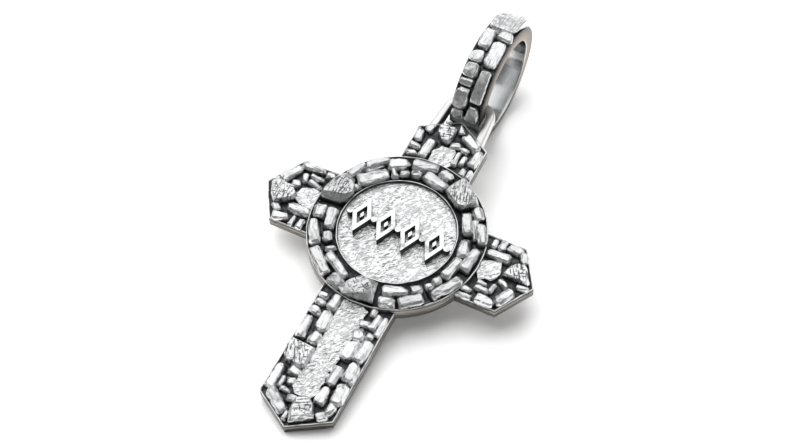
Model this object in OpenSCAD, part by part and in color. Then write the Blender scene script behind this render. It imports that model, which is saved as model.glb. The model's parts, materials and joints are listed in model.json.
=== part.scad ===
// Crucifix pendant: a cast cross with a cobbled face, a round medallion and a hanging ring,
// threaded through an oval cobbled bail. It lies as if put down on a table at z = 0: the
// foot of the cross and the back of the bail touch the table. +X is the right arm, +Y points
// from the foot to the bail, and all sizes are in millimetres.

/* [Cross] */
// Middle of the medallion to the point of a side arm
arm_reach = 15; // [14:0.5:17]
// Middle of the medallion to the point of the upper arm
head_reach = 15.4; // [15.2:0.1:15.5]
// Middle of the medallion to the point of the foot
foot_reach = 23.7; // [23.5:0.1:26]
// Width of every arm
arm_w = 8; // [7.8:0.1:8.4]
// How far the point stands out at each arm's end
point_h = 2.4; // [2:0.1:2.6]
// Thickness of the plate between the stones
bed_t = 0.9; // [0.7:0.05:1]
// Height of the thin lip along the edge
lip_h = 1.16; // [1.1:0.02:1.3]
// Width of that lip
lip_w = 0.2; // [0.15:0.05:0.3]

/* [Medallion] */
// Radius of the medallion
disc_r = 9.1; // [8.9:0.1:9.3]
// Height of the medallion between the stones
disc_bed = 1.35; // [1.2:0.05:1.5]
// Height of the medallion's outer lip and inner bead
disc_lip = 1.68; // [1.6:0.02:1.8]
// Inner radius of the bead round the field
field_r = 6.05; // [5.9:0.05:6.1]
// Width of the bead round the field
bead_w = 0.2; // [0.15:0.05:0.25]
// Height of the raised ornaments on the field
ornament_h = 2.15; // [1.9:0.05:2.4]

/* [Hanging ring] */
// Thickness of the ring's wire
wire_d = 1.15; // [0.9:0.05:1.2]
// Width of the ring across its two legs, outside
ring_w = 6.45; // [6.3:0.05:6.6]
// Outer radius of the ring's two corners
ring_corner = 2; // [1.9:0.1:2.2]
// Middle of the medallion to the far side of the ring
ring_reach = 18.8; // [18.7:0.1:19.2]

/* [Bail] */
// Width of the bail's band
bail_w = 3.44; // [3:0.04:3.52]
// Length of the bail's band, without its stones
bail_long = 13.8; // [13.6:0.1:14]
// Depth of the bail's band, from front to back
bail_deep = 11; // [10:0.1:11.2]
// Middle of the medallion to the middle of the bail
bail_y = 22.65; // [22.6:0.05:22.9]
// Length of the hole through the bail
eye_long = 10.8; // [10.6:0.1:11]
// Depth of the hole through the bail
eye_deep = 8.9; // [8:0.1:9]
// Depth of the cobbled face below the bail's two lips
groove = 0.35; // [0.25:0.05:0.4]

/* [Hidden] */
tiny = 0.01;
round_fn = 96;
wire_fn = 14;
wire_r = wire_d / 2;
// Height of the middle of the wire above the back of the cross
wire_z = 0.6;

// The bail's oval is centred a little in front of the plate's back, and its hole a little
// behind that, so the cobbled front wall is thicker than the plain back wall.
bail_z = 0.2;
eye_z = -0.1;
bail_step = 5;
function oval(long, deep, y, z, a) = [y + long / 2 * cos(a), z + deep / 2 * sin(a)];
function bail_point(a) = oval(bail_long, bail_deep, bail_y, bail_z, a);
bail_rim = [for (a = [0:bail_step:355]) bail_point(a)];

// The cross leans on its foot and on the bail. The lean is the steepest line from the foot's
// point to the bail's outline, and the lift keeps the foot on the table.
lean = max([for (p = bail_rim) atan2(-p[1], foot_reach + p[0])]);
lift = foot_reach * sin(lean);

// The length is centred on the origin.
stone_rise = 0.4;
far_end = max([for (p = bail_rim) p[0] * cos(lean) - p[1] * sin(lean)]) + stone_rise;
near_end = -foot_reach * cos(lean) - lip_h * sin(lean);
centre_y = -(far_end + near_end) / 2;

// Stones are rows of [x, y, long, wide, turn, taper, top]: the middle, the two sizes, the
// turn of the long side from +X, the width of the far end against the near end, and the
// height of the top above the back of the cross.
left_stones = [
  [-13.0, 1.95, 2.3, 0.9, 62, 0.8, 1.60],
  [-11.1, 3.35, 2.2, 1.0, -6, 0.6, 1.65],
  [-9.15, 3.30, 1.0, 0.6, 10, 0.9, 1.50],
  [-10.3, 2.40, 1.4, 0.5, -4, 0.9, 1.55],
  [-10.1, 1.60, 1.6, 0.5, -12, 0.8, 1.50],
  [-11.45, 1.9, 1.0, 0.45, -65, 0.8, 1.45],
  [-12.05, 0.95, 0.8, 0.7, 20, 0.9, 1.45],
  [-12.85, -0.6, 2.7, 1.9, -28, 0.7, 1.95],
  [-14.05, 0.65, 0.7, 0.4, 58, 0.8, 1.40],
  [-10.2, -1.80, 2.3, 0.9, 0, 0.9, 1.65],
  [-12.5, -2.45, 0.9, 0.8, -50, 0.9, 1.55],
  [-11.6, -3.25, 1.5, 0.9, 4, 0.7, 1.65],
  [-10.2, -3.25, 1.1, 0.45, 90, 0.9, 1.50],
  [-9.35, -3.20, 1.0, 0.6, 90, 0.9, 1.50],
];
right_stones = [
  [9.40, 3.10, 0.9, 0.5, 90, 0.9, 1.45],
  [10.3, 3.20, 1.1, 0.6, 88, 0.9, 1.55],
  [11.65, 3.3, 1.4, 0.9, -8, 0.8, 1.60],
  [12.85, 2.7, 1.2, 0.7, -57, 0.8, 1.55],
  [10.35, 1.85, 2.3, 0.8, 0, 0.9, 1.65],
  [12.95, 1.05, 1.8, 2.6, 88, 0.35, 1.90],
  [13.95, -0.45, 1.1, 0.5, 8, 0.7, 1.50],
  [12.1, -0.70, 1.1, 0.6, -30, 0.8, 1.50],
  [11.35, -1.75, 1.0, 0.5, 75, 0.8, 1.50],
  [12.85, -2.2, 2.0, 1.0, 60, 0.8, 1.70],
  [10.2, -1.60, 1.0, 0.4, -4, 0.8, 1.50],
  [10.3, -2.25, 1.3, 0.5, -2, 0.9, 1.55],
  [9.05, -2.90, 1.1, 0.5, -6, 0.9, 1.55],
  [9.15, -3.55, 1.5, 0.4, 0, 0.9, 1.45],
  [11.25, -3.3, 1.9, 0.9, -6, 0.7, 1.70],
];
head_stones = [
  [-3.35, 11.9, 1.5, 0.8, 94, 0.8, 1.60],
  [-3.15, 10.5, 1.0, 0.5, 0, 0.9, 1.50],
  [-3.1, 9.60, 0.9, 0.5, 0, 0.9, 1.45],
  [-1.8, 10.6, 2.3, 0.9, 86, 0.9, 1.70],
  [-0.95, 13.3, 2.1, 1.7, 262, 0.65, 1.90],
  [-1.3, 14.7, 0.5, 0.4, 30, 0.8, 1.40],
  [-2.6, 13.1, 0.9, 0.8, 60, 0.8, 1.50],
  [0.45, 14.3, 1.0, 0.6, 110, 0.5, 1.50],
  [2.05, 13.1, 2.2, 0.9, -28, 0.8, 1.70],
  [0.70, 12.2, 0.9, 0.7, 0, 0.9, 1.50],
  [3.35, 11.4, 1.9, 0.8, 86, 0.8, 1.70],
  [1.45, 10.7, 1.7, 0.45, 90, 0.8, 1.50],
  [1.85, 12.0, 0.8, 0.4, -10, 0.8, 1.50],
  [2.25, 10.7, 1.1, 0.5, 90, 0.9, 1.55],
  [2.80, 9.40, 0.9, 0.5, 90, 0.9, 1.50],
  [3.50, 9.50, 1.1, 0.4, 90, 0.9, 1.45],
];
foot_stones = [
  [-3.25, -9.5, 1.0, 0.5, -4, 0.9, 1.50],
  [-3.2, -10.4, 0.9, 0.5, 0, 0.9, 1.50],
  [-3.2, -11.4, 1.0, 0.8, 0, 0.9, 1.55],
  [-3.3, -13.4, 2.4, 0.8, 90, 0.9, 1.65],
  [-2.5, -16.2, 2.5, 2.4, 3, 1.0, 1.90],
  [-3.25, -19.3, 2.8, 0.9, 91, 0.9, 1.65],
  [-1.85, -21.6, 2.7, 1.0, -33, 0.9, 1.70],
  [-1.85, -9.8, 1.8, 1.0, 88, 0.9, 1.65],
  [-1.75, -12.1, 2.2, 1.2, 90, 0.9, 1.70],
  [-1.8, -14.2, 1.1, 1.0, 80, 0.9, 1.60],
  [-1.75, -18.1, 1.1, 0.9, 0, 0.9, 1.60],
  [-2.4, -19.6, 1.1, 0.4, 88, 0.8, 1.50],
  [-1.6, -19.3, 0.8, 0.7, 20, 0.8, 1.50],
  [-1.6, -20.3, 1.0, 0.45, -10, 0.7, 1.50],
  [-0.6, -20.8, 0.9, 0.7, 10, 0.9, 1.55],
  [0.85, -21.5, 2.4, 2.3, 121, 0.6, 1.95],
  [-0.4, -22.5, 1.0, 0.5, 88, 0.6, 1.50],
  [1.85, -10.7, 1.0, 0.7, 20, 0.9, 1.45],
  [1.85, -12.1, 1.1, 1.1, 20, 0.9, 1.60],
  [1.85, -14.0, 2.0, 1.2, 90, 0.9, 1.70],
  [1.85, -17.0, 2.1, 0.9, 90, 0.9, 1.65],
  [1.85, -19.4, 1.8, 1.1, 86, 0.8, 1.65],
  [2.05, -9.2, 0.9, 0.5, 90, 0.9, 1.45],
  [2.80, -10.1, 1.6, 0.5, 88, 0.8, 1.55],
  [3.50, -10.5, 2.2, 0.4, 90, 0.9, 1.50],
  [3.0, -11.7, 0.7, 0.6, 0, 0.8, 1.45],
  [3.15, -13.5, 2.3, 0.9, 90, 0.9, 1.65],
  [3.15, -16.0, 2.0, 1.2, 90, 0.9, 1.70],
  [3.2, -18.6, 2.0, 1.1, 92, 0.9, 1.70],
  [3.2, -20.4, 1.0, 1.0, 250, 0.4, 1.60],
  [2.7, -21.35, 0.9, 0.8, 30, 0.9, 1.60],
];
disc_stones = [
  [-7.45, 2.10, 2.7, 2.3, 165, 0.8, 2.75],
  [-5.95, 2.85, 0.6, 0.5, 160, 0.9, 2.05],
  [-6.95, 4.75, 2.0, 0.9, 60, 0.8, 2.25],
  [-5.35, 6.40, 2.2, 0.8, 36, 0.8, 2.50],
  [-5.20, 5.70, 1.7, 0.6, 36, 0.8, 2.15],
  [-4.95, 4.65, 3.1, 1.0, 44, 0.8, 2.30],
  [-3.30, 7.20, 2.0, 1.15, 30, 0.8, 2.30],
  [-3.30, 6.00, 1.0, 0.5, 120, 0.8, 2.15],
  [-2.30, 6.45, 0.75, 0.7, 20, 0.9, 2.10],
  [-1.25, 6.85, 0.9, 0.8, 10, 0.9, 2.15],
  [-0.80, 8.15, 2.5, 0.95, 14, 0.8, 2.25],
  [0.95, 6.85, 2.5, 0.95, -10, 0.8, 2.25],
  [1.70, 8.10, 1.3, 1.1, -12, 0.8, 2.20],
  [4.0, 6.60, 2.7, 2.5, -32, 0.8, 2.75],
  [6.60, 5.20, 1.4, 0.9, -48, 0.9, 2.20],
  [6.00, 3.60, 2.4, 0.85, -63, 0.9, 2.25],
  [7.25, 3.15, 2.1, 0.35, -63, 0.9, 2.15],
  [8.00, 3.20, 2.3, 0.7, -62, 0.9, 2.20],
  [7.00, 0.85, 1.7, 1.1, 98, 0.8, 2.30],
  [8.25, -0.1, 2.6, 0.9, 84, 0.8, 2.25],
  [6.95, -1.75, 2.3, 0.95, 77, 0.9, 2.30],
  [7.45, -4.10, 3.2, 0.9, 60, 0.8, 2.35],
  [6.20, -3.60, 0.85, 0.65, 60, 0.9, 2.15],
  [5.75, -4.50, 0.7, 0.55, 50, 0.9, 2.10],
  [4.85, -5.40, 0.95, 0.85, 45, 0.9, 2.20],
  [3.00, -6.45, 2.3, 0.9, 22, 0.9, 2.30],
  [4.95, -6.80, 2.3, 0.95, 35, 0.9, 2.30],
  [2.90, -7.95, 1.3, 0.95, 24, 0.9, 2.20],
  [-0.1, -7.65, 2.4, 3.2, 90, 0.7, 2.80],
  [-2.75, -7.95, 1.35, 1.0, -20, 0.9, 2.20],
  [-3.40, -6.30, 3.0, 0.95, -31, 0.8, 2.25],
  [-4.95, -4.75, 0.8, 0.45, 40, 0.9, 2.10],
  [-5.90, -3.65, 0.95, 0.85, -55, 0.9, 2.20],
  [-6.60, -1.65, 2.4, 1.0, -77, 0.9, 2.30],
  [-8.05, -1.35, 1.2, 0.95, -80, 0.9, 2.20],
  [-7.45, -3.75, 2.7, 0.95, -62, 0.9, 2.30],
  [-5.25, -6.55, 3.2, 1.0, -41, 0.8, 2.30],
];

// The rough ground panels in the middle of each arm are low, wide rows of the same kind.
panels = [
  [-9.9, 0.0, 2.3, 1.9, 0, 0.9, 1.30],
  [10.2, 0.0, 2.0, 2.0, 0, 0.9, 1.30],
  [0.15, 10.2, 2.4, 2.0, 90, 0.9, 1.30],
  [0.05, -12.8, 7.9, 2.4, 90, 0.95, 1.30],
  [0.05, -18.4, 3.2, 2.0, 90, 0.9, 1.35],
];

// The bail's stones are rows of [angle, x, long, wide, taper, extra]: the angle round the
// oval from its far end, over the front, towards the hanging ring, and how much the stone
// stands above the others.
bail_stones = [
  [13, -0.85, 1.6, 1.5, 0.9, 0],
  [11, 0.85, 1.8, 1.5, 0.9, 0],
  [48, 0.0, 4.7, 3.1, 0.95, 0.25],
  [85, -0.85, 2.6, 1.5, 0.85, 0],
  [76.5, 0.75, 1.1, 1.6, 0.9, 0],
  [98.5, 0.8, 3.2, 1.55, 0.9, 0],
  [105.5, -0.85, 1.25, 1.5, 0.9, 0],
  [120, -0.85, 1.5, 1.5, 0.9, 0],
  [132, -0.85, 0.75, 1.5, 0.9, 0],
  [149, -0.85, 2.3, 1.5, 0.9, 0],
  [132.5, 0.8, 3.5, 1.55, 0.8, 0],
  [165.5, -0.8, 0.9, 1.4, 0.8, 0],
  [161.5, 0.8, 1.6, 1.5, 0.7, 0],
];

// Eight corners of a stone: a tapered block with its corners cut, each moved a little by a
// fixed random draw, and drawn in by inset, or out where inset is negative.
function half_width(x, long, wide, taper) = wide / 2 * ((1 + taper) + (taper - 1) * 2 * x / long) / 2;
function stone_corners(long, wide, taper, inset, seed) =
  let (
    rough = min(long, wide) * 0.06,
    draw = rands(-rough, rough, 16, seed),
    cut = 0.22,
    cut_far = cut * min(long, wide * taper),
    cut_near = cut * min(long, wide),
    a = long / 2 - inset,
    far_x = a - cut_far,
    near_x = cut_near - a,
    far_h = half_width(a, long, wide, taper) - inset,
    near_h = half_width(-a, long, wide, taper) - inset,
    side_far = half_width(far_x, long, wide, taper) - inset,
    side_near = half_width(near_x, long, wide, taper) - inset,
    end_far = max(far_h - cut_far, tiny),
    end_near = max(near_h - cut_near, tiny),
    raw = [
      [a, -end_far], [a, end_far], [far_x, side_far], [near_x, side_near],
      [-a, end_near], [-a, -end_near], [near_x, -side_near], [far_x, -side_far],
    ]
  )
  [for (i = [0:7]) raw[i] + [draw[2 * i], draw[2 * i + 1]]];

// One stone, from below its bed to its top: sides that lean in, then a chamfer, then a top
// that tips a little to one side. The table's sizes are the stone's widest, above its foot.
module stone(long, wide, taper, foot, top, seed) {
  chamfer = 0.08 + 0.09 * min(long, wide);
  foot_spread = 0.14;
  tip = rands(-4, 4, 2, seed + 0.5) / max(1, long / 2);
  hull() {
    translate([0, 0, foot])
      linear_extrude(tiny) polygon(stone_corners(long, wide, taper, -foot_spread, seed));
    translate([0, 0, top - chamfer])
      linear_extrude(tiny) polygon(stone_corners(long, wide, taper, 0, seed));
    translate([0, 0, top]) rotate([tip[0], tip[1], 0])
      linear_extrude(tiny) polygon(stone_corners(long, wide, taper, chamfer * 0.7, seed));
  }
}

// A field of stones, one for each row of a table.
module paving(rows, foot, first_seed) {
  for (i = [0:len(rows) - 1]) {
    r = rows[i];
    translate([r[0], r[1], 0]) rotate(r[4])
      stone(r[2], r[3], r[5], foot, r[6], first_seed + i);
  }
}

// The plan of the cross: two bars with pointed ends.
module bar_plan(low, high) {
  h = arm_w / 2;
  polygon([[low, 0], [low + point_h, -h], [high - point_h, -h], [high, 0],
           [high - point_h, h], [low + point_h, h]]);
}
module cross_plan() {
  bar_plan(-arm_reach, arm_reach);
  rotate(90) bar_plan(-foot_reach, head_reach);
}

// The plate is a tray: its bed lies below the thin lip along the edge.
module plate() color("darkgray") difference() {
  linear_extrude(lip_h) cross_plan();
  translate([0, 0, bed_t]) linear_extrude(lip_h) offset(delta = -lip_w) cross_plan();
}

// The medallion is turned: a drum with a lip round its edge and a bead round its field.
module medallion() color("lightgray") {
  lip_r = disc_r - lip_w;
  bead_r = field_r + bead_w;
  rotate_extrude($fn = round_fn) polygon([
    [0, 0], [disc_r, 0], [disc_r, disc_lip], [lip_r, disc_lip], [lip_r, disc_bed],
    [bead_r, disc_bed], [bead_r, disc_lip], [field_r, disc_lip], [field_r, disc_bed],
    [0, disc_bed],
  ]);
}

module cobbles() color("silver") {
  sunk = 0.3;
  paving(left_stones, bed_t - sunk, 100);
  paving(right_stones, bed_t - sunk, 200);
  paving(head_stones, bed_t - sunk, 300);
  paving(foot_stones, bed_t - sunk, 400);
  paving(panels, bed_t - sunk, 500);
  paving(disc_stones, disc_bed - sunk, 600);
}

// A row of open lozenges, each with a small solid one inside, and beads between them, raised
// on the field of the medallion.
function lozenge(wide, tall) = [[-wide / 2, 0], [0, -tall / 2], [wide / 2, 0], [0, tall / 2]];
module ornament() color("whitesmoke") {
  lozenge_w = 2.1;
  lozenge_h = 4.3;
  stroke = 0.42;
  core = 0.2;
  pitch = 2.7;
  bead_d = 0.65;
  row_x = 0.15;
  sunk = 0.2;
  foot = disc_bed - sunk;
  translate([row_x, 0, foot]) {
    for (i = [-1.5:1:1.5])
      translate([i * pitch, 0, 0]) linear_extrude(ornament_h - foot) {
        difference() {
          polygon(lozenge(lozenge_w, lozenge_h));
          offset(delta = -stroke) polygon(lozenge(lozenge_w, lozenge_h));
        }
        polygon(lozenge(lozenge_w * core, lozenge_h * core));
      }
    for (i = [-2:2])
      translate([i * pitch, 0, 0]) cylinder(h = ornament_h - foot, d = bead_d, $fn = 16);
  }
}

// The hanging ring is round wire swept along its middle line: a leg out of the upper arm, a
// corner, a straight bar, the other corner and the other leg. A station is [x, y, heading].
function ring_stations() =
  let (
    leg_x = ring_w / 2 - wire_r,
    bend = ring_corner - wire_r,
    corner_x = leg_x - bend,
    corner_y = ring_reach - ring_corner,
    root_y = 13.1,
    steps = 6
  )
  concat(
    [[leg_x, root_y, 90]],
    [for (i = [0:steps]) let (a = 90 * i / steps)
      [corner_x + bend * cos(a), corner_y + bend * sin(a), 90 + a]],
    [for (i = [0:steps]) let (a = 90 + 90 * i / steps)
      [-corner_x + bend * cos(a), corner_y + bend * sin(a), 90 + a]],
    [[-leg_x, root_y, 270]]
  );
module hanging_ring() color("gainsboro") {
  stations = ring_stations();
  last = len(stations) - 1;
  points = [for (s = stations, k = [0:wire_fn - 1])
    let (t = 360 * k / wire_fn)
    [s[0] + wire_r * cos(t) * sin(s[2]), s[1] - wire_r * cos(t) * cos(s[2]), wire_z + wire_r * sin(t)]];
  sides = [for (i = [0:last - 1], k = [0:wire_fn - 1])
    let (n = (k + 1) % wire_fn)
    [i * wire_fn + n, (i + 1) * wire_fn + n, (i + 1) * wire_fn + k, i * wire_fn + k]];
  polyhedron(points, concat(
    sides,
    [[for (k = [wire_fn - 1:-1:0]) k]],
    [[for (k = [0:wire_fn - 1]) last * wire_fn + k]]
  ));
}

// Side views of the bail, drawn as (y, z): the oval band, and the part of its outer face that
// is sunk between the two lips, from just behind the far end to the hanging ring.
module band_plan() {
  difference() {
    polygon(bail_rim);
    polygon([for (a = [0:bail_step:355]) oval(eye_long, eye_deep, bail_y, eye_z, a)]);
  }
}
module groove_plan() {
  first = -10;
  last = 190;
  polygon(concat(
    [for (a = [first:bail_step:last]) grown_rim(a, 1)],
    [for (a = [last:-bail_step:first]) grown_rim(a, -groove)]
  ));
}
function grown_rim(a, grow) = oval(bail_long + 2 * grow, bail_deep + 2 * grow, bail_y, bail_z, a);

// Stands a side view across the pendant, width wide about its middle.
module across(width) {
  translate([-width / 2, 0, 0]) rotate([90, 0, 90]) linear_extrude(width) children();
}

module bail_band() color("gainsboro") {
  edge = 0.16;
  difference() {
    across(bail_w) band_plan();
    across(bail_w - 2 * edge) groove_plan();
  }
}

module bail_cobbles() color("silver") {
  sunk = 0.2;
  for (i = [0:len(bail_stones) - 1]) {
    r = bail_stones[i];
    p = bail_point(r[0]);
    tilt = atan2(bail_long * sin(r[0]), bail_deep * cos(r[0]));
    translate([r[1], p[0], p[1]]) rotate([tilt - 90, 0, 0]) rotate(90)
      stone(r[2], r[3], r[4], -groove - sunk, stone_rise + r[5], 700 + i);
  }
}

// Puts a piece down on the table.
module laid() {
  translate([0, centre_y, lift]) rotate([lean, 0, 0]) children();
}

module cross() laid() union() {
  plate();
  medallion();
  cobbles();
  ornament();
  hanging_ring();
}

module bail() laid() union() {
  bail_band();
  bail_cobbles();
}

cross();
bail();
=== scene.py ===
# %% [markdown]
# # A silver crucifix pendant, cobbled like an old road
#
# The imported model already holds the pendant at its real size: one casting for the cross with
# its hanging ring, and one for the bail. This script dresses it. Every stone, lip and wall is
# modelled again in fine detail where the model has it, and gets worn, blackened silver.

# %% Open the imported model
import json
import math
import random

import bmesh
import bpy
from mathutils import Matrix, Vector, noise


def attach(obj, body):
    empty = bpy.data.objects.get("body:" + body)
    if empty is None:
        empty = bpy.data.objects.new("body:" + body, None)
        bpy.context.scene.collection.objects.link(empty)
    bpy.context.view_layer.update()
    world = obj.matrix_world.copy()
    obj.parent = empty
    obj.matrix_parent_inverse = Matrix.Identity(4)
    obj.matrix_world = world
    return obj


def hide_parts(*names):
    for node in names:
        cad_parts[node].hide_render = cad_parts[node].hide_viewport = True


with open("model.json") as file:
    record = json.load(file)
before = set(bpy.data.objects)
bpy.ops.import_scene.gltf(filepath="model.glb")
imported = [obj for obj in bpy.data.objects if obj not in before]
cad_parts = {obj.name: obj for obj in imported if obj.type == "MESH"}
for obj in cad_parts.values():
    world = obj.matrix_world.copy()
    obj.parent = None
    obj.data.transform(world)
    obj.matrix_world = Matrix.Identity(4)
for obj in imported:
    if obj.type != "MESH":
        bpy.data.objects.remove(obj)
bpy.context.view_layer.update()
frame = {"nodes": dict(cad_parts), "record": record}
print("nodes in the frame:", sorted(frame["nodes"]))

# %% [markdown]
# ## The pendant's own plan
#
# The pendant lies on a table, tipped a few degrees because the bail lifts its upper end. It is
# far easier to model it flat, so everything is drawn in the pendant's own plan, in
# millimetres: x towards the right arm, y towards the bail, z out of the face. One matrix lays
# it down. The record's mount on the back face says how: where the plan's zero lies and which
# way the back looks.

# %% The matrix that lays the plan down
MM = 0.001
back_mount = next(m for m in frame["record"]["mounts"] if m["name"] == "back_face")
lean = math.atan2(back_mount["axis"][1], -back_mount["axis"][2])
TURN = Matrix.Rotation(lean, 4, "X")
LAID = Matrix.Translation(back_mount["pos_m"]) @ TURN @ Matrix.Scale(MM, 4)
print("the cross leans by", round(math.degrees(lean), 2), "degrees")

# %% [markdown]
# ## The camera
#
# A product photographer's long lens, looking down on the face from the lower right. A long
# lens keeps the arms' sides nearly parallel. The angles are told from the pendant's own plan
# and laid down with it.

# %% Camera
def place_camera():
    azimuth = math.radians(29.47)
    elevation = math.radians(57.34)
    roll = math.radians(-3.33)
    distance = 165.5
    aim = Vector((-0.91, 1.71, 0))
    lens_mm = 73.67
    turn = (Matrix.Rotation(azimuth, 4, "Z") @ Matrix.Rotation(math.pi / 2 - elevation, 4, "X")
            @ Matrix.Rotation(roll, 4, "Z"))
    away = turn @ Vector((0, 0, 1))
    camera = bpy.data.objects.new("camera", bpy.data.cameras.new("camera"))
    camera.data.lens = lens_mm
    camera.data.sensor_width = 36
    camera.data.clip_start = 0.01
    camera.matrix_world = Matrix.Translation(LAID @ (aim + away * distance)) @ TURN @ turn
    bpy.context.collection.objects.link(camera)
    bpy.context.scene.camera = camera
    print("camera stands at", [round(v, 4) for v in camera.matrix_world.translation])


place_camera()

# %% [markdown]
# ## Sizes of the cross
#
# Nothing is measured twice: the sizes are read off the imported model. A copy of each node is
# merged and its flat regions are joined into single faces. The level faces then give every
# height, and the flat back gives the outline.

# %% Read the sizes of the cross
MERGE_MM = 0.003
LEVEL = 0.9999


def plain_copy(node):
    """A merged copy of a node in plan millimetres, each flat region one face."""
    bm = bmesh.new()
    bm.from_mesh(frame["nodes"][node].data)
    bmesh.ops.transform(bm, matrix=LAID.inverted(), verts=bm.verts)
    bmesh.ops.remove_doubles(bm, verts=bm.verts, dist=MERGE_MM)
    bmesh.ops.dissolve_limit(bm, angle_limit=math.radians(0.6), verts=bm.verts, edges=bm.edges)
    bm.normal_update()
    return bm


def level_heights(bm, least_area):
    """Heights at which the level faces add up to some size, lowest first."""
    area_at = {}
    for face in bm.faces:
        if face.normal.z > LEVEL:
            z = round(face.calc_center_median().z, 2)
            area_at[z] = area_at.get(z, 0) + face.calc_area()
    return sorted(z for z, area in area_at.items() if area > least_area)


def level_faces(bm, z, level=LEVEL):
    """The faces at one height that look straight up, or nearly so with a smaller level."""
    return [f for f in bm.faces
            if f.normal.z > level and abs(f.calc_center_median().z - z) < 0.01]


def reach(v):
    """Distance from the medallion's middle, seen from above."""
    return math.hypot(v.x, v.y)


cross_copy = plain_copy("cross")
PLATE_BED, PLATE_LIP, DISC_BED, DISC_LIP, ORNAMENT_TOP = level_heights(cross_copy, least_area=10)
rim_reaches = [reach(v.co) for f in level_faces(cross_copy, DISC_LIP) for v in f.verts]
FIELD_R = round(min(rim_reaches), 2)
DISC_R = round(max(rim_reaches), 2)
back_face = min(cross_copy.faces, key=lambda f: f.normal.z * f.calc_area())
corners = [v.co.copy() for v in back_face.verts if reach(v.co) > DISC_R + 0.5]
arm_reach = max(c.x for c in corners)
foot_reach = -min(c.y for c in corners)
head_reach = max(c.y for c in corners)
arm_half = max(c.y for c in corners if c.x > DISC_R)
point_h = arm_reach - max(c.x for c in corners if c.y > arm_half - 0.1)
print("heights:", PLATE_BED, PLATE_LIP, DISC_BED, DISC_LIP, ORNAMENT_TOP)
print("medallion:", FIELD_R, DISC_R, "arms:", round(arm_reach, 2), round(head_reach, 2),
      round(foot_reach, 2), "half width:", round(arm_half, 2), "point:", round(point_h, 2))

# %% [markdown]
# ## Sizes of the ring and the bail
#
# All that stands beyond the upper arm's point is the hanging ring, so its box gives the wire
# and the ring. The bail is a band between two ovals, which its flat side face shows. An oval
# is worth a class of its own: later pieces ask it where a point lies, which way is out, and
# how far round one gets by a length of its path.

# %% Read the sizes of the ring and the bail
class Oval:
    """An oval in the plane of y and z, which runs from its far end over the front."""

    def __init__(self, points):
        ys = [p.y for p in points]
        zs = [p.z for p in points]
        self.y = (min(ys) + max(ys)) / 2
        self.z = (min(zs) + max(zs)) / 2
        self.long = (max(ys) - min(ys)) / 2
        self.deep = (max(zs) - min(zs)) / 2

    def out(self, p):
        """How far out a point lies: 1 on the oval, 0 at its middle."""
        return math.hypot((p.y - self.y) / self.long, (p.z - self.z) / self.deep)

    def angle(self, p):
        return math.atan2((p.z - self.z) / self.deep, (p.y - self.y) / self.long)

    def at(self, angle, x=0.0, rise=0.0):
        """The point at an angle, moved sideways by x and outwards by rise."""
        c = math.cos(angle)
        s = math.sin(angle)
        outward = Vector((0, c * self.deep, s * self.long)).normalized()
        return Vector((x, self.y + self.long * c, self.z + self.deep * s)) + outward * rise

    def outward(self, angle):
        """The direction straight out of the oval at an angle."""
        return self.at(angle, rise=1) - self.at(angle)

    def walk(self, angle, length):
        """The angle reached by going a length along the oval."""
        def pace(a):
            return math.hypot(self.long * math.sin(a), self.deep * math.cos(a))
        halfway = angle + length / 2 / pace(angle)
        return angle + length / pace(halfway)

    def matrix(self, x):
        """Carries a unit circle in the plane of x and y to this oval, at some x."""
        return Matrix(((0, 0, 1, x), (self.long, 0, 0, self.y), (0, self.deep, 0, self.z),
                       (0, 0, 0, 1)))


ring_points = [v.co.copy() for v in cross_copy.verts if v.co.y > head_reach + 0.2]
ring_far = max(p.y for p in ring_points)
ring_half = max(p.x for p in ring_points)
wire_low = min(p.z for p in ring_points)
WIRE_R = (max(p.z for p in ring_points) - wire_low) / 2

bail_copy = plain_copy("bail")
stoneless = [v.co for v in bail_copy.verts if abs(v.co.z) < 1]
BAIL_HALF = max(p.x for p in stoneless)
side_points = [v.co.copy() for v in bail_copy.verts if v.co.x > BAIL_HALF - 0.001]
OUTER = Oval(side_points)
INNER = Oval([p for p in side_points if OUTER.out(p) < 0.9])
print("ring reaches", round(ring_far, 2), "wire", round(2 * WIRE_R, 2), "bail outside",
      round(2 * OUTER.long, 2), "x", round(2 * OUTER.deep, 2), "inside",
      round(2 * INNER.long, 2), "x", round(2 * INNER.deep, 2))

# %% [markdown]
# ## From a bmesh to a piece
#
# A finished piece's mesh is carried from the plan to the table, gets its materials and rides
# on the model's only body. The weighted normals keep broad facets flat and leave the
# shading's turn to the narrow bevels between them.

# %% Turn a bmesh into a piece
def make_piece(bm, name, materials, slot, *replaced):
    open_edges = sum(e.is_boundary for e in bm.edges)
    bmesh.ops.transform(bm, matrix=LAID, verts=bm.verts)
    mesh = bpy.data.meshes.new(name)
    bm.to_mesh(mesh)
    bm.free()
    for material in materials:
        mesh.materials.append(material)
    mesh.polygons.foreach_set("use_smooth", [True] * len(mesh.polygons))
    piece = bpy.data.objects.new(name, mesh)
    bpy.context.collection.objects.link(piece)
    piece.modifiers.new("flat_facets", "WEIGHTED_NORMAL")
    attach(piece, "root")
    if replaced:
        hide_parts(*replaced)
    mesh.calc_loop_triangles()
    print(name, "has", len(mesh.loop_triangles), "triangles and", open_edges, "open edges")
    return piece


# %% [markdown]
# ## Hand tools
#
# Bmesh operators give back mixed lists of vertices, edges and faces, so the first tools sort
# them. The others are the moves that every piece here shares: raise a face, find the sharp
# edges, round them, and name the finish of some faces. What stands on something is sunk into
# it by a tenth of a millimetre, so that no gap can show at its foot.

# %% Helpers for a bmesh
SUNK = 0.1


def clamp(value):
    return min(max(value, 0), 1)


def verts_of(geom):
    return [g for g in geom if isinstance(g, bmesh.types.BMVert)]


def edges_of(geom):
    return [g for g in geom if isinstance(g, bmesh.types.BMEdge)]


def faces_of(geom):
    return [g for g in geom if isinstance(g, bmesh.types.BMFace)]


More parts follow.
